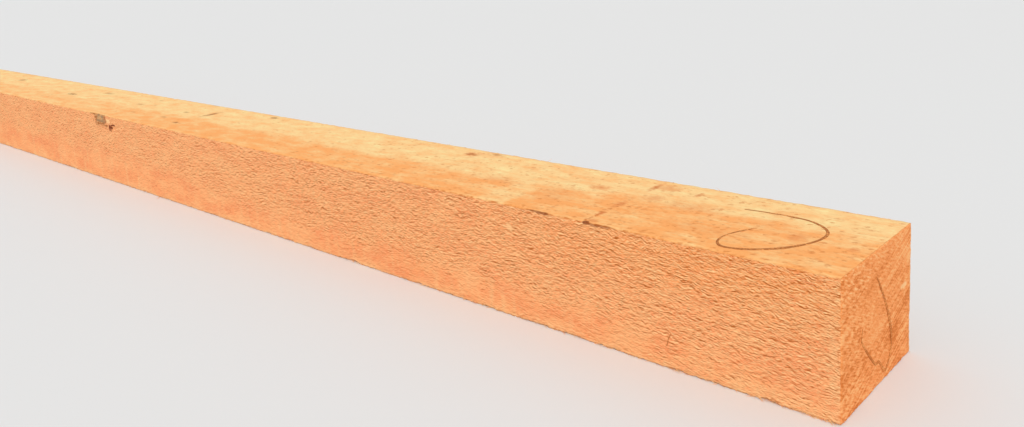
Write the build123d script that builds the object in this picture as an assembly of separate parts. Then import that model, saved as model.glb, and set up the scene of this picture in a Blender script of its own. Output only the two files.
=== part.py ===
from build123d import *
import math
import os

# A rough-sawn timber in one piece. X runs along it, Y across its width and Z up, with the origin
# in the middle of its underside. The end at +X and the side at -Y are the ones that show most wear.

# The stock size, in millimetres: four inches by five, eight feet long.
LENGTH = 2438.4
WIDTH = 127.0
HEIGHT = 101.6

# How far the saw and handling have broken the corners.
LONG_ARRIS_BREAK = 0.8
END_ARRIS_BREAK = 0.5

# Small bites torn out along the arrises. A middling bite slopes in along the grain for its run,
# down to its depth, and breaks off over its snap.
BITE_RUN = 20.0
BITE_SNAP = 5.0
BITE_DEPTH = 1.5
BITE_STRAY = 0.5
LOWER_BITE_SPACING = 92.0
UPPER_BITE_SPACING = 330.0
SPACING_STRAY = 0.35

# The bites that stand out, as (distance from the +X end, run, snap, depth).
LOWER_NEAR_BITES = [(516.0, 52.0, 16.0, 2.6), (412.0, 26.0, 8.0, 2.1), (314.0, 40.0, 10.0, 1.5),
                    (216.0, 52.0, 12.0, 1.7), (52.0, 26.0, 8.0, 2.2), (7.0, 16.0, 5.0, 2.0)]
UPPER_NEAR_BITES = [(208.0, 34.0, 6.0, 2.4)]

# A pit torn out of the near side: a round-nosed groove that slopes in towards the +X end.
PIT_FROM_END = 1082.0
PIT_BELOW_TOP = 15.5
PIT_RADIUS = 5.0
PIT_LENGTH = 16.0
PIT_SLOPE = 11.0

# The two sides and the two levels of an arris.
NEAR = -1
FAR = 1
LOWER = 0
UPPER = 1

# Steps that never fall into a rhythm, so that the bites look scattered.
PLACE_STEP = (math.sqrt(5) - 1) / 2
RUN_STEP = math.sqrt(2)
DEPTH_STEP = math.sqrt(3)


def scatter(number, step):
    """A value from -1 to 1 that is different for each number."""
    return 2 * (number * step % 1) - 1


def sawn_blank():
    """The timber as it leaves the saw, with every corner slightly broken."""
    blank = Box(LENGTH, WIDTH, HEIGHT, align=(Align.CENTER, Align.CENTER, Align.MIN))
    blank = chamfer(blank.edges().filter_by(Axis.X), LONG_ARRIS_BREAK)
    ends = blank.faces().filter_by(Axis.X)
    return chamfer(ends.edges(), END_ARRIS_BREAK)


def arris_plane(side, level, station):
    """A plane on an arris: its X runs along the timber, and its Y into the wood between both faces."""
    along = Vector(1, 0, 0)
    into_wood = Vector(0, -side, 1 - 2 * level).normalized()
    corner = (station, side * WIDTH / 2, level * HEIGHT)
    return Plane(origin=corner, x_dir=along, z_dir=along.cross(into_wood))


def bite(side, level, station, run, snap, depth):
    """What one torn bite takes away: a hollow slope, then a steep break."""
    hollow = SagittaArc((-run, 0), (0, depth), -depth / 4)
    around = Polyline((0, depth), (snap, 0), (snap, -depth), (-run, -depth), (-run, 0))
    outline = make_face([hollow, around])
    return extrude(arris_plane(side, level, station) * outline, amount=3 * depth, both=True)


def scattered_bites(side, level, spacing):
    """Bites of uneven size, all along one arris."""
    count = int(LENGTH / spacing)
    bites = []
    for number in range(count):
        stray = SPACING_STRAY * scatter(number, PLACE_STEP)
        station = (number + 0.5 + stray) * LENGTH / count - LENGTH / 2
        run = BITE_RUN * (1 + BITE_STRAY * scatter(number + side, RUN_STEP))
        depth = BITE_DEPTH * (1 + BITE_STRAY * scatter(number + level, DEPTH_STEP))
        bites.append(bite(side, level, station, run, BITE_SNAP, depth))
    return bites


def chosen_bites(side, level, sizes):
    """Bites at stated distances from the +X end."""
    return [bite(side, level, LENGTH / 2 - from_end, run, snap, depth)
            for from_end, run, snap, depth in sizes]


def pit():
    """The groove that a torn-out splinter left in the near side."""
    slope = math.radians(PIT_SLOPE)
    half = PIT_LENGTH / 2
    mouth = Location((LENGTH / 2 - PIT_FROM_END, -WIDTH / 2, HEIGHT - PIT_BELOW_TOP))
    lie = Location((0, half * math.sin(slope) - PIT_RADIUS, 0), (0, 0, PIT_SLOPE))
    shaft = Rotation(0, 90, 0) * Cylinder(PIT_RADIUS, PIT_LENGTH)
    nose = Pos(half, 0, 0) * Sphere(PIT_RADIUS)
    return mouth * lie * (shaft + nose)


def sawn_timber():
    """The whole timber: the blank less every bite and the pit."""
    bites = []
    for side in (NEAR, FAR):
        bites += scattered_bites(side, LOWER, LOWER_BITE_SPACING)
        bites += scattered_bites(side, UPPER, UPPER_BITE_SPACING)
    bites += chosen_bites(NEAR, LOWER, LOWER_NEAR_BITES)
    bites += chosen_bites(NEAR, UPPER, UPPER_NEAR_BITES)
    return sawn_blank() - bites - pit()


os.makedirs("parts", exist_ok=True)
export_step(sawn_timber(), "parts/sawn_timber.step")
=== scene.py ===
import math
import random

import bmesh
import bpy
from bpy.props import FloatProperty, FloatVectorProperty, IntProperty, PointerProperty
from bpy.types import Operator, Panel, PropertyGroup
from mathutils import Matrix, Vector, noise


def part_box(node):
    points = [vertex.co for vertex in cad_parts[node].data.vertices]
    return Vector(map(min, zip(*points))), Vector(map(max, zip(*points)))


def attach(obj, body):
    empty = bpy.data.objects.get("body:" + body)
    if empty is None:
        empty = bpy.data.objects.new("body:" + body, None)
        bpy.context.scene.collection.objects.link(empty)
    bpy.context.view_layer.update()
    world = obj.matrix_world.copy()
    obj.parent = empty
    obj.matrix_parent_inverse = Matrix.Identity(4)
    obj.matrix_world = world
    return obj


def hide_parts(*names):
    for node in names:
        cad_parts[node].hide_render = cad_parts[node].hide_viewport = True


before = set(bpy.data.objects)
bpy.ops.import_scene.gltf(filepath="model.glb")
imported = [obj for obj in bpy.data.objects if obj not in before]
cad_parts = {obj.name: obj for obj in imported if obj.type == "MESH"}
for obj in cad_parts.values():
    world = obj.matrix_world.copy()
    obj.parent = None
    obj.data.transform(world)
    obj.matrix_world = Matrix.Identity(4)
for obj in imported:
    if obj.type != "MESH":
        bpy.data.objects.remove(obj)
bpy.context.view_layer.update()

bl_info = {
    "name": "Rough-Sawn Timber",
    "version": (1, 0, 0),
    "blender": (4, 5, 0),
    "location": "3D View > Sidebar > Timber",
    "description": "Dresses a sawn timber with torn grain, worn arrises, saw marks and pencil marks",
    "category": "Object",
}

MM = 0.001

# The timber's node, body and material slot, and the names of its two finishes.
NODE = "sawn_timber"
BODY = "root"
WOOD = "torn_and_sawn_wood"
FIBRE = "lifted_fibres"

# The timber's own measures, in metres, taken from the frame. Its near side faces -Y.
LOW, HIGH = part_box(NODE)
LENGTH = HIGH.x - LOW.x
END = HIGH.x
NEAR = LOW.y
FAR = HIGH.y
TOP = HIGH.z


def display(red, green, blue):
    """A colour as a screen shows it, from 0 to 255, turned into the linear values that Blender keeps."""
    def linear(value):
        share = value / 255
        return share / 12.92 if share <= 0.04045 else ((share + 0.055) / 1.055) ** 2.4
    return (linear(red), linear(green), linear(blue))


def length_setting(name, description, default):
    """A size in metres, never below 0."""
    return FloatProperty(name=name, description=description, default=default, min=0, unit="LENGTH")


def colour_setting(name, description, default):
    """A colour, as linear values."""
    return FloatVectorProperty(name=name, description=description, default=default, subtype="COLOR",
                               size=3, min=0, max=1)


class SkinSettings(PropertyGroup):
    """Sizes of the timber's surface."""
    tear_depth: length_setting("Tear depth", "How deep the torn grain of the sides is", 0.5 * MM)
    tear_length: length_setting("Tear length", "How long a tear is along the grain", 6.4 * MM)
    tear_height: length_setting("Tear height", "How far apart tears are up a side", 1.9 * MM)
    saw_depth: length_setting("Saw mark depth", "How deep the saw's cross marks are", 0.1 * MM)
    saw_pitch: length_setting("Saw mark pitch", "How far apart the saw's cross marks are", 21 * MM)
    lower_wear: length_setting("Lower wear", "How far the lower arrises are worn in", 1.5 * MM)
    upper_wear: length_setting("Upper wear", "How far the other arrises are worn in", 0.5 * MM)


class FibreSettings(PropertyGroup):
    """Counts and sizes of the torn fibres."""
    side_count: IntProperty(name="Side fibres", description="Fibres lifted from each side", default=5200,
                            min=0)
    fringe_count: IntProperty(name="Fringe fibres", description="Fibres left hanging on the arrises",
                              default=2600, min=0)
    length: length_setting("Fibre length", "How long a middling fibre is", 6.5 * MM)
    width: length_setting("Fibre width", "How wide a middling fibre is", 0.7 * MM)
    lift: length_setting("Fibre lift", "How far a middling fibre stands off", 0.7 * MM)


class ColourSettings(PropertyGroup):
    """Colours of the wood and of what is on it."""
    pale: colour_setting("Pale wood", "The buff of the smooth top", display(255, 211, 144))
    bleached: colour_setting("Bleached wood", "The palest patches of the top", display(255, 228, 160))
    warm: colour_setting("Warm wood", "The orange of the top's near strip", display(255, 174, 100))
    side: colour_setting("Side wood", "The sides' torn grain", display(255, 169, 109))
    # Painted shade under the tears of the sides; the same colour also darkens the grain of the lifted
    # fibres.
    side_shade_and_grain: colour_setting("Deep side wood", "The undersides of the tears", display(180, 88, 18))
    # Pale side wood for the paler patches and the fibres, also painted as a highlight above the tears,
    # along the lower arris and as glints on the end.
    pale_side_and_highlight: colour_setting("Light side wood", "The lit edges of the tears", display(255, 208, 148))
    blush: colour_setting("Blush", "The pinkish patches low on the sides", display(248, 151, 96))
    end: colour_setting("End wood", "The end grain", display(248, 156, 88))
    end_deep: colour_setting("Deep end wood", "The darker end grain", display(216, 120, 50))
    end_light: colour_setting("Light end wood", "The bruised, paler end grain", display(255, 186, 120))
    smudge: colour_setting("Smudge", "Soft orange marks on the top", display(230, 138, 74))
    dull: colour_setting("Dull marks", "Soft brown marks on the top", display(160, 86, 28))
    fleck: colour_setting("Fleck", "Brown flecks and specks", display(206, 110, 42))
    pitch: colour_setting("Pitch", "The pitch streak and the bottom of the pit", display(114, 38, 4))
    stain: colour_setting("Stain", "The grey stain", display(162, 131, 94))
    pencil: colour_setting("Pencil", "The pencil line", display(180, 108, 54))


class StudioSettings(PropertyGroup):
    """The floor, the light and the camera."""
    floor: colour_setting("Floor", "The studio floor", (0.80, 0.79, 0.77))
    key: FloatProperty(name="Key lamp", description="Strength of the key lamp", default=1.475, min=0)
    softness: FloatProperty(name="Softness", description="How wide the key lamp looks from the timber",
                            default=math.radians(22), subtype="ANGLE")
    sky: FloatProperty(name="Sky", description="Strength of the light from all round", default=0.715,
                       min=0)
    camera_place: FloatVectorProperty(name="Camera place", description="Where the camera stands",
                                      default=(1.4282, -0.5768, 0.3275), size=3, subtype="TRANSLATION")
    heading: FloatProperty(name="Heading", description="How far the camera turns from +Y towards -X",
                           default=math.radians(43.22), subtype="ANGLE")
    tilt: FloatProperty(name="Tilt", description="How far the camera looks down",
                        default=math.radians(10.10), subtype="ANGLE")
    roll: FloatProperty(name="Roll", description="How far the camera leans",
                        default=math.radians(-3.66), subtype="ANGLE")
    lens: FloatProperty(name="Lens", description="Focal length, in millimetres", default=30.69, min=1)
    rise: FloatProperty(name="Rise", description="Vertical shift of the camera's frame", default=-0.1206)


# Shader maths: a signal is a socket that Python's own operators can add to.

class Signal:
    """A value on its way through a shader."""

    def __init__(self, shader, socket):
        self.shader = shader
        self.socket = socket

    def math(self, operation, first, second=0.0):
        """One Math node."""
        node = self.shader.node("ShaderNodeMath", {"operation": operation}, {0: first, 1: second})
        return Signal(self.shader, node.outputs[0])

    def __add__(self, other):
        return self.math("ADD", self, other)

    def __sub__(self, other):
        return self.math("SUBTRACT", self, other)

    def __mul__(self, other):
        return self.math("MULTIPLY", self, other)

    def __truediv__(self, other):
        return self.math("DIVIDE", self, other)

    def __rsub__(self, other):
        return self.math("SUBTRACT", other, self)

    def __pow__(self, other):
        return self.math("POWER", self, other)

    def __abs__(self):
        return self.math("ABSOLUTE", self)

    __radd__ = __add__
    __rmul__ = __mul__

    def most(self, other):
        return self.math("MAXIMUM", self, other)

    def least(self, other):
        return self.math("MINIMUM", self, other)

    def ease(self, low, high):
        """0 below low and 1 above high, with a soft step between them."""
        node = self.shader.node("ShaderNodeMapRange", {"interpolation_type": "SMOOTHSTEP"},
                                {"Value": self, "From Min": low, "From Max": high})
        return Signal(self.shader, node.outputs["Result"])


class Shader:
    """A material's node tree, and the nodes that the finishes share."""

    def __init__(self, name):
        self.material = bpy.data.materials.new(name)
        self.material.use_nodes = True
        self.tree = self.material.node_tree
        self.tree.nodes.clear()
        place = self.node("ShaderNodeTexCoord").outputs["Object"]
        parts = self.node("ShaderNodeSeparateXYZ", inputs={0: Signal(self, place)})
        self.x, self.y, self.z = [Signal(self, parts.outputs[axis]) for axis in "XYZ"]

    def node(self, kind, settings=None, inputs=None):
        """Adds a node, sets it up, and gives its sockets their values or links."""
        made = self.tree.nodes.new(kind)
        for name, value in (settings or {}).items():
            setattr(made, name, value)
        for name, value in (inputs or {}).items():
            if isinstance(value, Signal):
                self.tree.links.new(value.socket, made.inputs[name])
            else:
                made.inputs[name].default_value = value
        return made

    def vector(self, x, y, z):
        """Three values as one vector."""
        node = self.node("ShaderNodeCombineXYZ", inputs={0: x, 1: y, 2: z})
        return Signal(self, node.outputs[0])

    def noise(self, x, y, z, detail=2.0, roughness=0.5):
        """Cloud-like noise about 0.5, whose features are about one unit across."""
        where = self.vector(x, y, z)
        node = self.node("ShaderNodeTexNoise", inputs={"Vector": where, "Scale": 1.0, "Detail": detail,
                                                       "Roughness": roughness})
        return Signal(self, node.outputs[0])

    def cells(self, x, y, z):
        """Distance to the nearest of scattered points, and a random value for each point."""
        where = self.vector(x, y, z)
        node = self.node("ShaderNodeTexVoronoi", inputs={"Vector": where, "Scale": 1.0})
        value = self.node("ShaderNodeSeparateColor", inputs={0: Signal(self, node.outputs["Color"])})
        return Signal(self, node.outputs["Distance"]), Signal(self, value.outputs[0])

    def mix(self, factor, first, second):
        """From the first colour to the second as the factor goes from 0 to 1."""
        first = first if isinstance(first, Signal) else (*first, 1)
        second = second if isinstance(second, Signal) else (*second, 1)
        node = self.node("ShaderNodeMix", {"data_type": "RGBA"}, {0: factor, 6: first, 7: second})
        return Signal(self, node.outputs[2])

    def surface(self, colour, roughness, shine, height=None, depth=1 * MM):
        """Ends the shader: one surface, with a height signal as its bump."""
        inputs = {"Base Color": colour, "Roughness": roughness, "Specular IOR Level": shine}
        if height is not None:
            bump = self.node("ShaderNodeBump",
                             inputs={"Height": height, "Strength": 1.0, "Distance": depth})
            inputs["Normal"] = Signal(self, bump.outputs[0])
        shader = self.node("ShaderNodeBsdfPrincipled", inputs=inputs)
        output = self.node("ShaderNodeOutputMaterial")
        self.tree.links.new(shader.outputs[0], output.inputs[0])
        return self.material


# The wood. Distances are in metres, and each part of the figure has its own function.

# Soft marks on the top, in millimetres: the middle, the reach along X and Y, and how dark each is.
ORANGE_MARKS = [(1012, 42, 4, 13, 0.9), (1023, 46, 14, 10, 0.5), (1028, 16, 9, 10, 0.5),
                (970, 17, 12, 6, 0.65), (1012, -12, 5, 11, 0.8), (1055, 42, 3, 7, 0.7),
                (1013, -39, 3.5, 7, 1.0), (1018, -58, 6, 5, 0.8), (1165, -9, 8, 11, 0.55),
                (780, 45, 11, 8, 0.8), (806, 56, 15, 7, 0.4), (1207, -12, 4, 5, 0.8),
                (1141, 0, 26, 14, 0.08), (1103, -29, 40, 12, 0.18), (1064, 10, 30, 12, 0.3),
                (948, -19, 22, 26, 0.22), (869, -11, 24, 12, 0.22)]
DULL_MARKS = [(275, 21, 6, 16, 0.8), (278, -34, 8, 4, 0.75), (216, 63, 10, 4, 0.5),
              (220, 12, 8, 3, 0.6), (77, 9, 12, 5, 0.33), (390, 52, 9, 5, 0.75), (78, 42, 8, 3, 0.3),
              (111, 17, 6, 2.5, 0.25), (221, -23, 8, 4, 0.4), (132, -28, 8, 3, 0.35),
              (-163, -3, 16, 5, 0.8), (-95, 32, 17, 6, 0.42), (-476, 21, 14, 8, 0.6),
              (-662, -23, 9, 14, 0.45), (-979, 47, 14, 5, 0.4), (-1110, 2, 8, 9, 0.4),
              (780, 45, 9, 4, 0.6), (806, 57, 9, 3, 0.4), (1055, 42, 3, 5, 0.2),
              (1012, 42, 3, 9, 0.25), (1013, -39, 3, 5, 0.12)]

# The line of specks across the top: where it lies, and where on its way to the far side it fades.
SPECK_LINE = 1013 * MM
SPECK_LINE_FADES = (-6 * MM, 10 * MM)

# Patches on the near side and the +X end: the middle, and the reach along X, Y and Z in millimetres.
CHIP = ((END, 49 * MM, 58 * MM), (4, 6.5, 2.4))
BRUISE = ((931 * MM, NEAR, 80 * MM), (6, 3, 5))
TORN = ((125 * MM, NEAR, 93.5 * MM), (8, 3, 3.5))
STAIN = ((99 * MM, NEAR, 95.5 * MM), (15, 2.4, 6.6))
STAIN_RIM = ((97.5 * MM, NEAR, 94 * MM), (22, 2.4, 10))
RIM_ABOVE = ((84 * MM, NEAR, TOP), (26, 2, 1.8))
RIM_BESIDE = ((118 * MM, NEAR, 86 * MM), (4, 3, 2.5))
PIT = ((130.5 * MM, NEAR + 1 * MM, 83.8 * MM), (6.5, 5, 5))
PIT_LIP = ((139.5 * MM, NEAR, 88.4 * MM), (7.5, 5, 1.3))
BAR = ((116 * MM, NEAR, 97 * MM), (2.4, 3, 4.5))
STREAK = ((968 * MM, NEAR, TOP), (14, 2, 2))
NOTCH = ((1016 * MM, NEAR + 1 * MM, TOP - 1 * MM), (4, 3, 1.3))
TRAIL = ((1029 * MM, NEAR, TOP - 0.6 * MM), (16, 1.5, 1.6))

# How square a patch is: 2 is round.
ROUND = 2.0
SQUARE = 4.0

# Stretches along the timber, in metres, over which the warm strip of the top sets in and widens, and a
# paler gap in it starts and ends.
STRIP_STARTS = (-0.05, 0.3)
STRIP_WIDENS = (0.908, 1.035)
GAP_STARTS = (0.884, 0.9)
GAP_ENDS = (0.92, 0.929)

# The same for where flecks grow thicker, and where the near arris's ticks grow and fade.
FLECKS_GROW = (0.2, 1.2)
TICKS_GROW = (0.8, 0.84)
TICKS_FADE = (1.045, 1.105)

# The same for the sides, where torn grain reaches lower down and grows stronger there, fine lines grow
# crisper, and the colour high up grows deeper.
GRAIN_LOWERS = (0.2, 0.5)
LOW_GRAIN_GROWS = (1.0, 1.12)
CRISP_GROWS = (0.35, 0.75)
DEEPENS = (0.8, 1.15)

# Where the torn grain begins to lean down towards the +X end, and how fast its lean grows.
LEAN_FROM = 800 * MM
LEAN = 0.143

# How long and how high the slow waves are that the torn grain drifts in.
DRIFT_ALONG = 34 * MM
DRIFT_UP = 12 * MM

# The heart of the tree, beyond the far side and below the timber, and how wide its rings are.
HEART_Y = 110 * MM
HEART_Z = -190 * MM
RING_WIDTH = 3.6 * MM


def face_masks(shader):
    """How much a point belongs to the top or underside, and to either end."""
    top = shader.z.ease(TOP - 1.2 * MM, TOP - 0.4 * MM)
    underside = 1 - shader.z.ease(0.4 * MM, 1.2 * MM)
    end = abs(shader.x).ease(END - 0.9 * MM, END - 0.3 * MM)
    return top.most(underside), end


def torn_grain(shader, length, height, lean):
    """How far torn grain stands out, and how much it faces down: below 0 where it faces up."""
    drift = shader.noise(shader.x / DRIFT_ALONG, shader.y / DRIFT_UP, shader.z / DRIFT_UP, detail=1.0)
    twist = shader.noise(shader.x / (length * 1.4), shader.y / height, shader.z / (height * 4),
                         detail=1.0)
    leaning = (shader.x - LEAN_FROM).most(0.0)
    along = shader.x / length + drift
    across = shader.y / height
    up = (shader.z + leaning * leaning * LEAN) / height + drift * lean + twist * 2.6
    here = shader.noise(along, across, up, detail=1.5, roughness=0.55)
    above = shader.noise(along, across, up + 0.2, detail=1.5, roughness=0.55)
    return here, above - here


def growth_rings(shader):
    """The faint rings of a tree whose heart lies outside the section."""
    wander = shader.noise(shader.x / 0.5, shader.y / 0.2, shader.z / 0.2, detail=1.0) - 0.5
    across = shader.y - HEART_Y + wander * 0.02
    up = shader.z - HEART_Z + wander * 0.015
    radius = (across * across + up * up) ** 0.5
    uneven = shader.noise(radius / 0.02, 0.0, 0.0, detail=1.0)
    ring = radius / RING_WIDTH + uneven * 2
    return shader.noise(ring, shader.x / 0.4, 6.0, detail=2.0, roughness=0.6)


def top_colour(shader, colours):
    """The smooth sawn faces: buff, with a warm strip by the near arris that widens near the +X end."""
    wander = shader.noise(shader.x / 0.07, 1.0, 2.0, detail=3.0, roughness=0.6) - 0.5
    border = shader.x.ease(*STRIP_WIDENS) * 20 * MM - 9 * MM + wander * 34 * MM
    strip = 1 - (shader.y - border).ease(-11 * MM, 11 * MM)
    paler = shader.x.ease(*GAP_STARTS) * (1 - (shader.x + wander * 10 * MM).ease(*GAP_ENDS))
    strip = strip * (1 - paler * 0.75) * (shader.x.ease(*STRIP_STARTS) * 0.5 + 0.5)
    patch = shader.noise(shader.x / 0.032, shader.y / 0.015, shader.z / 0.02, detail=4.0, roughness=0.62)
    streak = shader.noise(shader.x / 0.03, shader.y / (2.5 * MM), 3.0, detail=3.0, roughness=0.6)
    rings = growth_rings(shader)
    fine = shader.noise(shader.x / (4 * MM), shader.y / (2.5 * MM), 8.0, detail=2.0)
    warmth = strip * 0.7 + (patch - 0.5) * 2.6 + (streak - 0.5) * 0.95 + (rings - 0.5) * 0.3
    warmth = warmth + (fine - 0.5) * 0.9 + 0.08
    colour = shader.mix(warmth.most(0.0).least(1.0), colours.pale, colours.warm)
    return shader.mix((warmth * -1).ease(0.05, 0.5) * 0.9, colour, colours.bleached)


def fleck_mask(shader):
    """Short brown flecks with a haze between them, thicker on the ground towards the +X end."""
    bend = shader.noise(shader.x / (2.4 * MM), shader.y / (2 * MM), 7.0, detail=3.0) * 1.2
    along = shader.x / (6 * MM) + bend
    distance, chance = shader.cells(along, shader.y / (4 * MM) + bend, shader.z / (4 * MM))
    group = shader.noise(shader.x / 0.03, shader.y / 0.02, 11.0).ease(0.38, 0.62)
    crowd = shader.x.ease(*FLECKS_GROW) * (0.75 - shader.y.ease(-0.02, 0.05) * 0.3)
    crowd = crowd * (group * 0.7 + 0.5) + 0.05
    size = (1 - chance / crowd).most(0.0) * 0.42
    spots = (1 - chance.ease(crowd - 0.01, crowd)) * (1 - distance.ease(size * 0.2, size + 0.16))
    haze = shader.noise(shader.x / (9 * MM), shader.y / (5 * MM), 9.0, detail=4.0, roughness=0.65)
    return (spots * 0.64).most(haze.ease(0.48, 0.78) * crowd * 0.75)


def smudges(shader, ragged, marks):
    """Soft marks on the top, with ragged edges."""
    total = None
    for middle_x, middle_y, reach_x, reach_y, dark in marks:
        along = (shader.x - middle_x * MM) / (reach_x * MM)
        across = (shader.y - middle_y * MM) / (reach_y * MM)
        distance = (along * along + across * across) ** 0.5
        mark = (1 - (distance + ragged * 2.0).ease(0.1, 1.3)) * dark
        total = total.most(mark) if total else mark
    return total * shader.z.ease(TOP - 2 * MM, TOP - 1 * MM)


def speck_line(shader, ragged):
    """A line of brown specks across the top's near half."""
    line = 1 - abs(shader.x - SPECK_LINE + ragged * 9 * MM).ease(0.5 * MM, 3 * MM)
    speckle = shader.noise(shader.y / (4 * MM), 4.0, shader.x / (5 * MM), detail=2.0).ease(0.5, 0.62)
    line = line * (1 - shader.y.ease(*SPECK_LINE_FADES))
    return line * speckle * 0.8 * shader.z.ease(TOP - 2 * MM, TOP - 1 * MM)


def arris_ticks(shader):
    """Brown ticks where torn grain breaks over the near arrises of the top and the +X end."""
    by_top = 1 - (shader.y - NEAR).ease(0.4 * MM, 2.2 * MM)
    stretch = shader.x.ease(*TICKS_GROW) * (1 - shader.x.ease(*TICKS_FADE)) * 0.5 + 0.4
    broken = shader.noise(shader.x / (10 * MM), 2.0, 2.0, detail=5.0, roughness=0.65)
    top = by_top * broken.ease(0.42, 0.6) * stretch
    by_end = shader.x.ease(END - 4 * MM, END - 0.8 * MM) * (1 - (shader.y - NEAR).ease(1 * MM, 3 * MM))
    end = by_end * shader.noise(shader.z / (4 * MM), 5.0, shader.x / (3 * MM), detail=3.0).ease(0.5, 0.7)
    return (top * shader.z.ease(TOP - 1.4 * MM, TOP - 0.4 * MM)).most(end * 0.8)


def side_colour(shader, colours, down, fine_down):
    """The sides: orange, painted shade under each tear and painted highlight above it, smoother and pinker
    low down.
    """
    sway = shader.noise(shader.x / 0.05, shader.y, 2.0, detail=2.0)
    reach = (sway - 0.5) * 40 * MM - (1 - shader.x.ease(*GRAIN_LOWERS)) * 16 * MM
    calm = 1 - (shader.z + reach).ease(14 * MM, 40 * MM)
    patch = shader.noise(shader.x / 0.045, shader.y / 0.02, shader.z / 0.02, detail=3.0, roughness=0.6)
    bars = shader.noise(shader.x / (9 * MM), shader.y, shader.z / 0.05, detail=2.0)
    pink = patch.ease(0.42, 0.72) * 0.7 + calm * patch.ease(0.36, 0.7) * 0.4
    base = shader.mix(pink.least(1.0), colours.side, colours.blush)
    deeper = shader.x.ease(*DEEPENS) * shader.z.ease(40 * MM, 90 * MM) * 0.8
    base = shader.mix(deeper, base, colours.end)
    bright = calm * bars.ease(0.48, 0.8) * 0.4
    # Paler patches near the bottom, and a painted highlight along the lower arris, where it would catch
    # the light.
    bright = bright + (1 - shader.z.ease(2 * MM, 14 * MM)) * sway.ease(0.3, 0.6) * 0.25
    bright = bright + (1 - shader.z.ease(1 * MM, 3.5 * MM)) * 0.4
    bright = bright + shader.x.ease(END - 18 * MM, END - 3 * MM) * bars.ease(0.3, 0.7) * 0.35
    base = shader.mix(bright + (0.5 - patch).most(0.0) * 1.1, base, colours.pale_side_and_highlight)
    strength = 1 - calm * (0.55 - shader.x.ease(*LOW_GRAIN_GROWS) * 0.25)
    crisp = shader.x.ease(*CRISP_GROWS) * 0.3 + 0.45
    # Painted shade under each tear and a painted highlight above it, from how much the torn grain faces
    # down.
    gate = shader.noise(shader.x / (24 * MM), shader.y, shader.z / (10 * MM), detail=2.0).ease(0.3, 0.62)
    dark = (down.ease(0.02, 0.10) * (gate * 0.55 + 0.35) + fine_down.ease(0.01, 0.09) * crisp) * strength
    light = ((down * -1).ease(0.02, 0.09) * 0.65 + (fine_down * -1).ease(0.01, 0.09) * 0.75) * strength
    lit = shader.mix(light.least(1.0), base, colours.pale_side_and_highlight)
    return shader.mix(dark.least(1.0), lit, colours.side_shade_and_grain)


def slanted(shader, degrees, length, width, seed):
    """Streaks across the end, which rise to the right by the degrees as it is looked at."""
    slant = math.radians(degrees)
    along = shader.y * math.cos(slant) + shader.z * math.sin(slant)
    across = shader.z * math.cos(slant) - shader.y * math.sin(slant)
    return shader.noise(along / length, across / width, seed, detail=2.0, roughness=0.6)


def end_colour(shader, colours, hatch, scratch):
    """End grain: bruised by the saw, with deeper orange low on the far side, and painted glints."""
    patch = shader.noise(shader.y / (30 * MM), shader.z / (18 * MM), 4.0, detail=3.0, roughness=0.6)
    right = shader.y.ease(0.0, 0.04)
    far = right * (1 - shader.z.ease(0.045, 0.06)) * patch.ease(0.3, 0.6)
    mottle = shader.noise(shader.y / (4 * MM), shader.z / (3 * MM), shader.x, detail=3.0, roughness=0.65)
    near = 1 - shader.y.ease(-0.05, 0.01)
    deep = (0.5 - hatch) * (3.3 - right * 1.2) + (patch - 0.5) * (1.6 + right * 0.8) + near * 0.08
    deep = deep + (mottle - 0.5) * (1.0 + near * 1.1) + far * 0.3
    deep = deep + (0.5 - scratch) * (1.2 + shader.z.ease(0.06, 0.01) * 1.4 + right * 0.9)
    middle = shader.y.ease(-0.035, -0.01) * (1 - shader.y.ease(0.01, 0.03))
    deep = deep * (1 - middle * 0.25)
    rings = (growth_rings(shader) - 0.5) * 0.35
    colour = shader.mix((deep + rings + 0.1).ease(0.0, 0.9), colours.end, colours.end_deep)
    colour = shader.mix((0.02 - deep).ease(0.0, 0.6) * 0.9, colour, colours.end_light)
    # Painted highlights: glints on the upper near part of the end, and a pale line down its far arris.
    glints = hatch.ease(0.58, 0.72) * near * shader.z.ease(0.07, 0.09)
    glints = glints + shader.y.ease(0.0595, 0.0625) * 0.5
    return shader.mix(glints.least(1.0) * 0.8, colour, colours.pale_side_and_highlight)


def blot(shader, ragged, patch, power=ROUND):
    """A patch with a ragged edge round its middle: 1 inside and 0 outside."""
    offsets = [abs((axis - middle) / (reach * MM)) ** power for axis, middle, reach in
               zip((shader.x, shader.y, shader.z), *patch)]
    distance = (offsets[0] + offsets[1] + offsets[2]) ** (1 / power)
    return 1 - (distance + ragged * 1.4).ease(0.7, 1.1)


def pale_patches(shader, ragged, tear):
    """Paler wood: the chip on the end, and the bruise and the torn patch on the near side."""
    chip = blot(shader, ragged, CHIP) * 0.7
    bruise = blot(shader, ragged, BRUISE) * tear.ease(0.4, 0.55) * 0.6
    return chip.most(bruise).most(blot(shader, ragged, TORN, SQUARE) * 0.7)


def stained(shader, colours, ragged, tear, colour):
    """The colour with the cloudy grey stain and its brown rim laid over it."""
    rim = blot(shader, ragged, STAIN_RIM, SQUARE).most(blot(shader, ragged, RIM_ABOVE))
    rim = rim.most(blot(shader, ragged, RIM_BESIDE))
    colour = shader.mix(rim * (0.85 - tear.ease(0.4, 0.6) * 0.3), colour, colours.dull)
    stain = blot(shader, ragged * 1.5, STAIN, SQUARE)
    colour = shader.mix(stain * 0.9, colour, colours.stain)
    cloud = shader.noise(shader.x / (15 * MM), shader.y / (5 * MM), shader.z / (4 * MM), detail=3.0)
    return shader.mix(stain * cloud.ease(0.42, 0.62) * 0.55, colour, colours.end_light)


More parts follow.
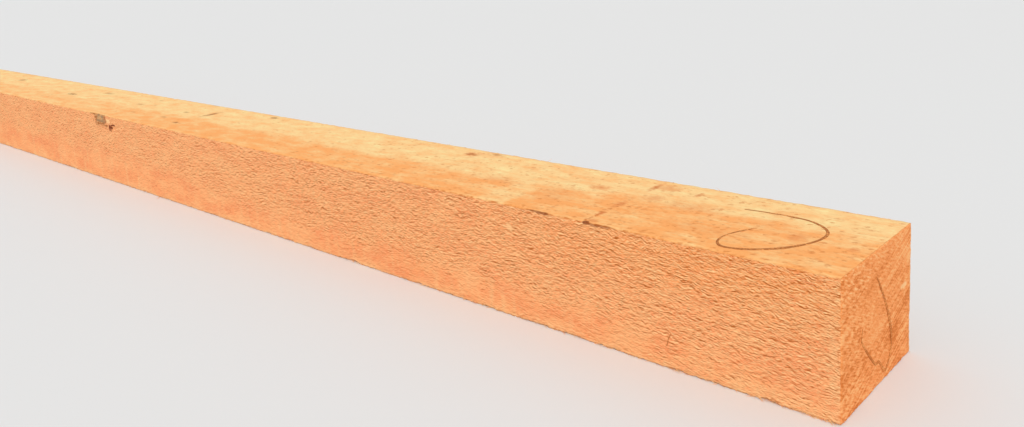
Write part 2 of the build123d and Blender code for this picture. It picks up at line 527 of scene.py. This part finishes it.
def pitch_mask(shader, ragged):
    """The pitch: in the pit and on its lip, beside the stain, and along the upper near arris."""
    pit = blot(shader, ragged, PIT).most(blot(shader, ragged, PIT_LIP))
    pit = pit * (shader.z.ease(79 * MM, 86 * MM) * 0.4 + 0.6)
    notch = blot(shader, ragged * 1.4, NOTCH) * 0.78
    streak = blot(shader, ragged, STREAK) * 0.7
    trail = blot(shader, ragged, TRAIL) * 0.52
    bar = blot(shader, ragged, BAR) * 0.5
    return pit.most(notch).most(streak).most(trail).most(bar) * 0.94


def wood(colours, skin):
    """The whole finish of the sawn wood."""
    shader = Shader(WOOD)
    flat, end = face_masks(shader)
    tear, down = torn_grain(shader, skin.tear_length, skin.tear_height, 1.7)
    fine, fine_down = torn_grain(shader, skin.tear_length * 0.5, skin.tear_height * 0.5, 2.5)
    ragged = shader.noise(shader.x / (5 * MM), shader.y / (3.5 * MM), shader.z / (3.5 * MM), detail=3.0)
    ragged = ragged - 0.5
    hatch = slanted(shader, degrees=-22, length=7.5 * MM, width=1.5 * MM, seed=1.0)
    scratch = slanted(shader, degrees=19, length=70 * MM, width=1.6 * MM, seed=5.0)
    side = side_colour(shader, colours, down, fine_down)
    top = top_colour(shader, colours)
    top = shader.mix(smudges(shader, ragged, ORANGE_MARKS), top, colours.smudge)
    top = shader.mix(smudges(shader, ragged, DULL_MARKS), top, colours.dull)
    top = shader.mix(speck_line(shader, ragged), top, colours.fleck)
    top = shader.mix(fleck_mask(shader), top, colours.fleck)
    colour = shader.mix(flat, side, top)
    colour = shader.mix(end, colour, end_colour(shader, colours, hatch, scratch))
    colour = shader.mix(arris_ticks(shader), colour, colours.fleck)
    colour = shader.mix(pale_patches(shader, ragged, tear), colour, colours.pale_side_and_highlight)
    colour = stained(shader, colours, ragged, tear, colour)
    colour = shader.mix(pitch_mask(shader, ragged), colour, colours.pitch)
    grain = shader.noise(shader.x / (6 * MM), shader.y / (0.8 * MM), shader.z / (0.8 * MM), detail=3.0)
    sides = (1 - flat) * (1 - end)
    height = (tear * 0.55 + fine * 0.5) * sides
    height = height + grain * 0.12 * (1 - end) + (scratch * 0.35 + hatch * 0.5) * end
    return shader.surface(colour, 0.78 + grain * 0.15, 0.2, height)


def fibre_finish(colours):
    """Lifted fibres: paler and deeper from tuft to tuft."""
    shader = Shader(FIBRE)
    tuft = shader.noise(shader.x / (7 * MM), shader.y / (3 * MM), shader.z / (2.2 * MM), detail=2.0)
    colour = shader.mix(tuft.ease(0.35, 0.62), colours.pale_side_and_highlight, colours.side)
    grain = shader.noise(shader.x / (3 * MM), shader.y / (0.5 * MM), shader.z / (0.5 * MM), detail=2.0)
    colour = shader.mix(grain.ease(0.55, 0.75) * 0.35, colour, colours.side_shade_and_grain)
    return shader.surface(colour, 0.8 + grain * 0.1, 0.25, grain, depth=0.1 * MM)


# The skin: the sawn solid itself, cut fine enough to carry its relief.

# How close to a plane a point counts as on it, and how close two points count as one.
TOUCH = 0.0001 * MM
WELD = 0.001 * MM


def cut_along(bm, axis, stations, faces):
    """Cuts the faces across an axis: at the middle station first, and then each half of them."""
    if not faces or not stations:
        return
    middle = len(stations) // 2
    station = stations[middle]
    normal = Vector([1.0 if number == axis else 0.0 for number in range(3)])
    reach = {face: sorted(vert.co[axis] for vert in face.verts) for face in faces}
    crossed = [face for face in faces
               if reach[face][0] < station - TOUCH < station + TOUCH < reach[face][-1]]
    edges = {edge for face in crossed for edge in face.edges}
    verts = {vert for face in crossed for vert in face.verts}
    cut = bmesh.ops.bisect_plane(bm, geom=[*verts, *edges, *crossed], dist=TOUCH,
                                 plane_co=normal * station, plane_no=normal)
    halves = {item for item in cut["geom"] if isinstance(item, bmesh.types.BMFace)}
    halves = [(face, face.calc_center_median()[axis]) for face in halves]
    whole = [(face, reach[face][0]) for face in faces if face not in set(crossed)]
    below = [face for face, place in halves + whole if place < station - TOUCH]
    above = [face for face, place in halves + whole if place >= station - TOUCH]
    cut_along(bm, axis, stations[:middle], below)
    cut_along(bm, axis, stations[middle + 1:], above)


# Where the skin's cuts grow closer, and closer again, on the way to the +X end.
SEEN_FROM = -360 * MM
FINE_FROM = 450 * MM

# The skin's three stretches along the timber: from, to, and how far apart the cuts across it are.
STRETCHES = [(LOW.x, SEEN_FROM, 8 * MM), (SEEN_FROM, FINE_FROM, 4 * MM), (FINE_FROM, END, 2.5 * MM)]

# The other cuts: which way their side faces, the axis they step along, and how far apart they are in each
# stretch, in millimetres.
CUTS = [(Vector((0, -1, 0)), 2, (8, 2, 1.4)), (Vector((0, 1, 0)), 2, (8, 3, 3)),
        (Vector((0, 0, 1)), 1, (8, 4, 4)), (Vector((0, 0, -1)), 1, (8, 8, 8)),
        (Vector((1, 0, 0)), 1, (2, 2, 2)), (Vector((1, 0, 0)), 2, (2, 2, 2)),
        (Vector((-1, 0, 0)), 1, (4, 4, 4)), (Vector((-1, 0, 0)), 2, (4, 4, 4))]

# The sides are calmer below this height, and calmest at the bottom.
CALM_BELOW = 35 * MM
CALMEST = 0.4

# How high the skin's slow swell and the end's roughness are.
SWELL = 0.15 * MM
END_ROUGHNESS = 0.2 * MM

# How near to an arris the skin is worn, and how near to a lower one the lower wear holds.
WORN_WITHIN = 2.2 * MM
LOWER_WITHIN = 3 * MM

# Solid faces within the first angle are joined, and skin edges past the second stay sharp.
FLAT_ANGLE = math.radians(0.5)
SHARP_ANGLE = math.radians(40)

# A face belongs to a side when it faces that way by more than this.
FACING = 0.5


def steps(low, high, pitch):
    """Evenly spaced stations strictly between two ends, about a pitch apart."""
    count = max(1, round((high - low) / pitch))
    return [low + (high - low) * number / count for number in range(1, count)]


def skin_stations():
    """Where the skin is cut along its length."""
    stations = []
    for low, high, pitch in STRETCHES:
        stations += [*steps(low, high, pitch), high]
    return stations[:-1]


def tears(x, up, skin):
    """Height, from -0.5 to 0.5, of a side's torn grain."""
    drift = noise.noise(Vector((x / DRIFT_ALONG, up / DRIFT_UP, 5.0)))
    up += LEAN * max(0.0, x - LEAN_FROM) ** 2
    along = x / (skin.tear_length * 1.2) + drift
    place = Vector((along, up / (skin.tear_height * 1.6) + 2.0 * drift, 0.0))
    return min(0.5, max(-0.5, noise.noise(place)))


def saw_marks(x, skin, seed):
    """Height, from -1 to 1, of the saw's cross marks."""
    stray = noise.noise(Vector((x / (70 * MM), seed, 1.0)))
    return math.sin(2 * math.pi * (x / skin.saw_pitch + stray))


def wear(point):
    """How worn an arris is at a point, from 0 to 1: ramps that run in along the grain and break off."""
    stray = noise.noise(point / (26 * MM))
    turn = point.x / (13 * MM) + 1.6 * stray
    ramp = turn - math.floor(turn)
    chosen = noise.noise(Vector((math.floor(turn) * 1.7, point.y * 90, point.z * 110)))
    rough = noise.noise(point / (3.2 * MM))
    return min(1.0, max(0.0, 0.25 + 0.8 * rough + (ramp * ramp if chosen > 0 else 0.0)))


def relief(point, normal, skin):
    """How far a point of the surface moves outwards."""
    calm = 1 if point.z > CALM_BELOW else CALMEST + (1 - CALMEST) * point.z / CALM_BELOW
    height = abs(normal.y) * tears(point.x, point.z + 3 * point.y, skin) * skin.tear_depth * calm
    height += (abs(normal.y) * 0.6 + abs(normal.z)) * saw_marks(point.x, skin, normal.y) * skin.saw_depth
    place = Vector((point.x / (45 * MM), point.y / (20 * MM), point.z / (20 * MM)))
    height += noise.noise(place) * SWELL
    height += abs(normal.x) * noise.noise(point / (5 * MM)) * END_ROUGHNESS
    inside = sorted((END - abs(point.x), FAR - abs(point.y), min(point.z, TOP - point.z)))
    corner = max(0.0, 1 - (inside[0] + inside[1]) / WORN_WITHIN)
    if point.z < LOWER_WITHIN and FAR - abs(point.y) < LOWER_WITHIN:
        return height - corner * skin.lower_wear * wear(point)
    return height - corner * skin.upper_wear * wear(point)


def placed(name, data):
    """A new object in the scene."""
    made = bpy.data.objects.new(name, data)
    bpy.context.scene.collection.objects.link(made)
    return made


def object_from(bm, name, material):
    """A finished mesh as an object."""
    mesh = bpy.data.meshes.new(name)
    bm.to_mesh(mesh)
    bm.free()
    mesh.materials.append(material)
    return placed(name, mesh)


def piece_from(bm, name, material):
    """A finished piece of wood, which rides on the timber's one body."""
    piece = object_from(bm, name, material)
    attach(piece, BODY)
    return piece


def wood_material():
    """The wood's finish, which is made only once."""
    made = bpy.data.materials.get(WOOD)
    return made or wood(bpy.context.scene.timber_colours, bpy.context.scene.timber_skin)


def fibre_material():
    """The lifted fibres' finish, made once and shared."""
    made = bpy.data.materials.get(FIBRE)
    return made or fibre_finish(bpy.context.scene.timber_colours)


class TIMBER_OT_sawn_skin(Operator):
    """Cut the solid's surface into small faces and give them the relief of sawn wood"""
    bl_idname = "timber.sawn_skin"
    bl_label = "Sawn Skin"

    def execute(self, context):
        skin = context.scene.timber_skin
        bm = bmesh.new()
        bm.from_mesh(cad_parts[NODE].data)
        bmesh.ops.remove_doubles(bm, verts=bm.verts, dist=WELD)
        bmesh.ops.dissolve_limit(bm, angle_limit=FLAT_ANGLE, verts=bm.verts, edges=bm.edges)
        cut_along(bm, 0, skin_stations(), list(bm.faces))
        for way, axis, pitches in CUTS:
            stretches = [[], [], []]
            for face in bm.faces:
                if face.normal.dot(way) > FACING:
                    station = face.calc_center_median().x
                    stretches[(station > SEEN_FROM) + (station > FINE_FROM)].append(face)
            for faces, pitch in zip(stretches, pitches):
                cut_along(bm, axis, steps(LOW[axis], HIGH[axis], pitch * MM), faces)
        bm.normal_update()
        moves = [vert.normal * relief(vert.co, vert.normal, skin) for vert in bm.verts]
        for vert, move in zip(bm.verts, moves):
            vert.co += move
            vert.co.z = max(vert.co.z, LOW.z)
        for face in bm.faces:
            face.smooth = True
        piece = piece_from(bm, "timber_skin", wood_material())
        piece.data.set_sharp_from_angle(angle=SHARP_ANGLE)
        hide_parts(NODE)
        return {"FINISHED"}


# Torn fibres: thin spikes, bent off the surface, thousands to a piece.

# Splinters left hanging on the lower near arris, in millimetres: where, how long, how wide, and how far
# each points away from the timber, in degrees.
SPLINTERS = [(262, 15, 1.7, 42), (590, 11, 1.6, 16), (1094, 7, 1.3, 35), (1103, 8, 1.3, 22),
             (1117, 7, 1.2, 30), (1124, 5, 1.1, 20), (1142, 5, 1.2, 25), (1160, 7, 1.3, 18),
             (1176, 6, 1.2, 28), (1192, 8, 1.3, 15), (1205, 7, 1.4, 24), (1211, 6, 1.3, 40),
             (880, 6, 1.0, 20), (906, 7, 1.0, 24), (1010, 6, 1.0, 20), (700, 6, 1.1, 30),
             (455, 6, 1.0, 24)]

# Where the fibres leave the near side's marks clear: from, to, and above what height.
CLEARED = [(60 * MM, 152 * MM, 74 * MM), (950 * MM, 1025 * MM, 95 * MM)]

# The fibres' seeds, the parts that one bends in, how deep its root sits, and the tufts of the +X end.
NEAR_SEED = 11
FAR_SEED = 12
FRINGE_SEED = 21
FIBRE_JOINTS = 3
ROOT_DEPTH = 0.2 * MM
END_TUFTS = 110


def fibre_pattern():
    """One straight fibre, a three-sided spike one unit long, that the others are copies of."""
    bm = bmesh.new()
    bmesh.ops.create_cone(bm, cap_ends=True, cap_tris=True, segments=3, radius1=0.5, radius2=0.06, depth=1)
    turn = Matrix.Rotation(math.radians(90), 4, "Y") @ Matrix.Translation((0, 0, 0.5))
    bmesh.ops.transform(bm, matrix=turn, verts=bm.verts)
    for joint in range(1, FIBRE_JOINTS):
        bmesh.ops.bisect_plane(bm, geom=[*bm.verts, *bm.edges, *bm.faces], dist=WELD,
                               plane_co=(joint / FIBRE_JOINTS, 0, 0), plane_no=(1, 0, 0))
    pattern = bpy.data.meshes.new("fibre_pattern")
    bm.to_mesh(pattern)
    bm.free()
    return pattern


def lay_fibre(bm, pattern, root, along, out, length, width, lift, curl=0.0):
    """Copies the fibre to a root, pointing along the surface and rising off it by its lift."""
    start = len(bm.verts)
    bm.from_mesh(pattern)
    bm.verts.ensure_lookup_table()
    across = along.cross(out).normalized()
    for vert in bm.verts[start:]:
        share, side, thick = vert.co
        rise = lift * max(0.0, math.sin(share * math.pi * 0.62)) ** 1.5
        sway = curl * share * share
        fat = width * (1 - 0.45 * share)
        vert.co = (root + along * (length * share) + across * (side * fat + sway)
                   + out * (thick * fat * 0.5 + rise - ROOT_DEPTH))
        vert.co.z = max(vert.co.z, LOW.z)


def marred(x, z):
    """Whether a place is on one of the near side's marks."""
    return any(start < x < stop and z > bottom for start, stop, bottom in CLEARED)


def side_fibres(name, level, out, fibres, chance):
    """The lifted fibres of one side, as one piece."""
    pattern = fibre_pattern()
    bm = bmesh.new()
    for _ in range(fibres.side_count):
        x = END - LENGTH * chance.random() ** 1.5
        z = TOP * chance.uniform(0.015, 0.985)
        low = z < 30 * MM and chance.random() < 0.75
        size = chance.uniform(0.5, 1.4) * (0.5 if low else 1.0)
        tilt = 0.7 * noise.noise(Vector((x / DRIFT_ALONG, z / DRIFT_UP, 5.0)))
        tilt += chance.uniform(-0.24, 0.24)
        way = 1 if chance.random() < 0.8 else -1
        tilt -= way * 2 * LEAN * max(0.0, x - LEAN_FROM)
        along = Vector((way * math.cos(tilt), 0, math.sin(tilt)))
        length = fibres.length * size
        if abs(x + way * length) > END or marred(x, z):
            continue
        lay_fibre(bm, pattern, Vector((x, level, z)), along, out, length,
                  fibres.width * chance.uniform(0.5, 1.3),
                  fibres.lift * chance.uniform(0.4, 1.3) * size,
                  curl=chance.uniform(-1.2, 1.2) * MM)
    bpy.data.meshes.remove(pattern)
    piece_from(bm, name, fibre_material())


class TIMBER_OT_torn_grain(Operator):
    """Lift torn fibres from the two sides"""
    bl_idname = "timber.torn_grain"
    bl_label = "Torn Grain"

    def execute(self, context):
        fibres = context.scene.timber_fibres
        side_fibres("near_torn_grain", NEAR, Vector((0, -1, 0)), fibres, random.Random(NEAR_SEED))
        side_fibres("far_torn_grain", FAR, Vector((0, 1, 0)), fibres, random.Random(FAR_SEED))
        return {"FINISHED"}


def fringe_sides(bm, pattern, fibres, chance):
    """Short fibres along the long arrises, most of them on the lower near one."""
    for _ in range(fibres.fringe_count):
        lower = chance.random() < 0.85
        side = -1 if chance.random() < 0.7 else 1
        x = END - LENGTH * chance.random() ** 1.3
        crowd = noise.noise(Vector((x / (18 * MM), side * 3.0 + lower, 0.0)))
        if crowd < chance.uniform(-0.5, 0.3):
            continue
        z = chance.uniform(0.3, 1.8) * MM if lower else TOP - chance.uniform(0.3, 0.9) * MM
        root = Vector((x, side * (FAR - 0.5 * MM), z))
        out = Vector((0, side, 0.15)).normalized()
        swing = chance.uniform(0.05, 0.8)
        way = 1 if chance.random() < 0.8 else -1
        along = Vector((way * math.cos(swing), side * math.sin(swing), -0.06 if lower else 0.1))
        length = chance.uniform(1.5, 6.0) * MM * (1.0 if lower else 0.5)
        if abs(x + way * length) > END:
            continue
        lay_fibre(bm, pattern, root, along.normalized(), out, length, chance.uniform(0.3, 0.8) * MM,
                  chance.uniform(0.1, 0.6) * MM, curl=chance.uniform(-0.8, 0.8) * MM)


def fringe_end(bm, pattern, chance):
    """Tufts that the cross cut left at the +X end: on its lower arris, and up its near one."""
    for _ in range(END_TUFTS):
        if chance.random() < 0.3:
            across = chance.uniform(NEAR, FAR)
            root = Vector((END - 0.4 * MM, across, chance.uniform(0.3, 1.6) * MM))
            along = Vector((0.5, chance.uniform(-1, 1), -0.05)).normalized()
        else:
            root = Vector((END - 0.4 * MM, NEAR + 0.5 * MM, TOP * chance.uniform(0.02, 0.97)))
            along = Vector((0.35, -0.75, chance.uniform(-1, 1))).normalized()
        lay_fibre(bm, pattern, root, along, Vector((1, 0, 0)), chance.uniform(0.8, 2.6) * MM,
                  chance.uniform(0.3, 0.6) * MM, 0.3 * MM)


class TIMBER_OT_arris_fringe(Operator):
    """Leave torn fibres and a few splinters hanging along the arrises"""
    bl_idname = "timber.arris_fringe"
    bl_label = "Arris Fringe"

    def execute(self, context):
        chance = random.Random(FRINGE_SEED)
        pattern = fibre_pattern()
        bm = bmesh.new()
        fringe_sides(bm, pattern, context.scene.timber_fibres, chance)
        fringe_end(bm, pattern, chance)
        for station, length, width, swing in SPLINTERS:
            swing = math.radians(swing)
            along = Vector((math.cos(swing), -math.sin(swing), -0.03)).normalized()
            root = Vector((station * MM, NEAR + 1.2 * MM, 1.6 * MM))
            out = Vector((0, -0.4, 1)).normalized()
            lay_fibre(bm, pattern, root, along, out, length * MM, width * MM, -0.6 * MM,
                      curl=chance.uniform(-1.5, 1.5) * MM)
        bpy.data.meshes.remove(pattern)
        piece_from(bm, "arris_fringe", fibre_material())
        return {"FINISHED"}


# Pencil marks: two open loops.

# Each point gives its place and how thick the line is there, in millimetres.
TOP_LOOP = [(1104, 28.3, 1.0), (1122, 30.2, 1.7), (1140, 30.7, 2.2), (1160, 28.5, 2.2),
            (1176, 17.5, 2.2), (1182, 3.5, 2.5), (1178, -16.5, 2.5), (1166, -34.5, 3.2),
            (1150, -48.5, 3.3), (1130, -55.3, 2.6), (1120.5, -46.5, 1.6), (1120, -30.5, 1.5),
            (1126, -16.5, 1.3), (1132, -6.5, 0.8)]
END_LOOP = [(-4.4, 82.9, 1.4), (6, 68.9, 2.3), (14, 56, 2.8), (21.4, 41.1, 3.3), (25.2, 29.4, 3.3),
            (24.6, 19, 3.0), (20.2, 11, 2.8), (14, 5.8, 2.6), (11.5, 6.6, 2.4), (5, 14.2, 2.1),
            (0.5, 19, 1.9), (-4.5, 17.6, 1.9), (-13.9, 26.9, 2.1), (-22.5, 36, 2.0), (-30.8, 45.1, 1.8),
            (-30.2, 49, 1.7), (-28.7, 54, 1.3)]

# A dark fibre stuck low on the near side: how far along, how high up and how thick, in millimetres.
STRAY_FIBRE = [(1087.6, 18, 0.5), (1088.6, 21.5, 0.7), (1089.6, 25.5, 0.7), (1092, 29.3, 0.5)]

# How flat the pencil's lines are pressed, how far off the wood their middles lie, and the same for the
# stray fibre.
LINE_FLATNESS = 0.12
LINE_RISE = 0.15 * MM
STRAY_FLATNESS = 0.5
STRAY_RISE = 0.3 * MM


def pencil_material(colours):
    """Graphite dragged over rough wood, broken where the pencil skipped."""
    shader = Shader("pencil_line")
    skip = shader.noise(shader.x / (1.1 * MM), shader.y / (1.1 * MM), shader.z / (1.1 * MM), detail=3.0)
    press = shader.noise(shader.x / (16 * MM), shader.y / (16 * MM), shader.z / (16 * MM))
    bare = (skip + press * 0.5 - 0.25).ease(0.46, 0.68)
    line = shader.mix(shader.x.ease(END - 2 * MM, END) * 0.45, colours.pencil, colours.end_deep)
    colour = shader.mix(bare * 0.85, line, colours.warm)
    return shader.surface(colour, 0.8 + skip * 0.15, 0.15)


def trace(name, points, place, material):
    """One line, drawn flat as a smooth curve and then laid in its place as a mesh."""
    curve = bpy.data.curves.new(name, "CURVE")
    curve.dimensions = "3D"
    curve.bevel_depth = 0.5 * MM
    curve.bevel_resolution = 1
    curve.use_fill_caps = True
    spline = curve.splines.new("NURBS")
    spline.points.add(len(points) - 1)
    for point, (across, up, thickness) in zip(spline.points, points):
        point.co = (across * MM, up * MM, 0, 1)
        point.radius = thickness
    spline.order_u = 3
    spline.use_endpoint_u = True
    line = bpy.data.objects.new(name, curve)
    bm = bmesh.new()
    bm.from_mesh(bpy.data.meshes.new_from_object(line))
    bmesh.ops.transform(bm, matrix=place, verts=bm.verts)
    bpy.data.objects.remove(line)
    piece_from(bm, name, material)


class TIMBER_OT_pencil_marks(Operator):
    """Draw the pencil loops on the top and the +X end, and the dark fibre on the near side"""
    bl_idname = "timber.pencil_marks"
    bl_label = "Pencil Marks"

    def execute(self, context):
        material = pencil_material(context.scene.timber_colours)
        pressed = Matrix.Diagonal((1, 1, LINE_FLATNESS, 1))
        top = Matrix.Translation((0, 0, TOP + LINE_RISE)) @ pressed
        turn = Matrix(((0, 0, 1, 0), (1, 0, 0, 0), (0, 1, 0, 0), (0, 0, 0, 1)))
        end = Matrix.Translation((END + LINE_RISE, 0, 0)) @ turn @ pressed
        side = Matrix(((1, 0, 0, 0), (0, 0, -1, NEAR - STRAY_RISE), (0, 1, 0, 0), (0, 0, 0, 1)))
        side = side @ Matrix.Diagonal((1, 1, STRAY_FLATNESS, 1))
        trace("top_pencil_loop", TOP_LOOP, top, material)
        trace("end_pencil_loop", END_LOOP, end, material)
        trace("stray_fibre", STRAY_FIBRE, side, material)
        return {"FINISHED"}


# The studio: how far its floor reaches, in metres, the floor's faint second colour, the way that the key
# lamp shines, and the colour of the light from all round.
FLOOR_REACH = 40
FLOOR_CLOUD = (0.70, 0.69, 0.67)
KEY_WAY = Vector((-0.46, 0.60, -0.66))
SKY_COLOUR = (0.95, 0.97, 1.0, 1)


def floor_material(colour):
    """A plain pale floor with a faint cloud in it."""
    shader = Shader("studio_floor")
    cloud = shader.noise(shader.x / 1.5, shader.y / 1.5, shader.z)
    pale = shader.mix(cloud * 0.05, tuple(colour), FLOOR_CLOUD)
    return shader.surface(pale, 0.9, 0.1)


class TIMBER_OT_studio(Operator):
    """Set up the pale floor, the soft light and the camera"""
    bl_idname = "timber.studio"
    bl_label = "Studio"

    def execute(self, context):
        scene = context.scene
        studio = scene.timber_studio
        bm = bmesh.new()
        bmesh.ops.create_grid(bm, x_segments=2, y_segments=2, size=FLOOR_REACH)
        floor = object_from(bm, "studio_floor", floor_material(studio.floor))
        lamp = bpy.data.lights.new("key_lamp", "SUN")
        lamp.energy = studio.key
        lamp.angle = studio.softness
        key = placed("key_lamp", lamp)
        key.rotation_euler = KEY_WAY.to_track_quat("-Z", "Y").to_euler()
        world = bpy.data.worlds.new("studio_sky")
        world.use_nodes = True
        background = world.node_tree.nodes["Background"]
        background.inputs["Color"].default_value = SKY_COLOUR
        background.inputs["Strength"].default_value = studio.sky
        scene.world = world
        lens = bpy.data.cameras.new("camera")
        lens.lens = studio.lens
        lens.shift_y = studio.rise
        camera = placed("camera", lens)
        camera.location = studio.camera_place
        turn = Matrix.Rotation(studio.heading, 4, "Z")
        turn = turn @ Matrix.Rotation(math.pi / 2 - studio.tilt, 4, "X")
        camera.rotation_euler = (turn @ Matrix.Rotation(studio.roll, 4, "Z")).to_euler()
        scene.camera = camera
        scene.view_settings.view_transform = "Standard"
        return {"FINISHED"}


class TIMBER_PT_sidebar(Panel):
    """The timber's settings and steps"""
    bl_idname = "TIMBER_PT_sidebar"
    bl_label = "Timber"
    bl_space_type = "VIEW_3D"
    bl_region_type = "UI"
    bl_category = "Timber"

    def draw(self, context):
        """The settings, group by group, and a button for each step."""
        for group in GROUPS:
            box = self.layout.box()
            settings = getattr(context.scene, group)
            for name in settings.__annotations__:
                box.prop(settings, name)
        for step in STEPS:
            self.layout.operator(step.bl_idname)


GROUPS = {
    "timber_skin": SkinSettings,
    "timber_fibres": FibreSettings,
    "timber_colours": ColourSettings,
    "timber_studio": StudioSettings,
}
STEPS = (TIMBER_OT_studio, TIMBER_OT_sawn_skin, TIMBER_OT_torn_grain, TIMBER_OT_arris_fringe,
         TIMBER_OT_pencil_marks)


def register():
    """Adds the settings, the steps and the panel."""
    for name, group in GROUPS.items():
        bpy.utils.register_class(group)
        setattr(bpy.types.Scene, name, PointerProperty(type=group))
    for step in (*STEPS, TIMBER_PT_sidebar):
        bpy.utils.register_class(step)


def unregister():
    """Takes them out again."""
    for step in (TIMBER_PT_sidebar, *reversed(STEPS)):
        bpy.utils.unregister_class(step)
    for name, group in GROUPS.items():
        delattr(bpy.types.Scene, name)
        bpy.utils.unregister_class(group)


def main():
    """Makes the whole scene."""
    register()
    bpy.ops.timber.studio()
    bpy.ops.timber.sawn_skin()
    bpy.ops.timber.torn_grain()
    bpy.ops.timber.arris_fringe()
    bpy.ops.timber.pencil_marks()


if __name__ == "__main__":
    main()
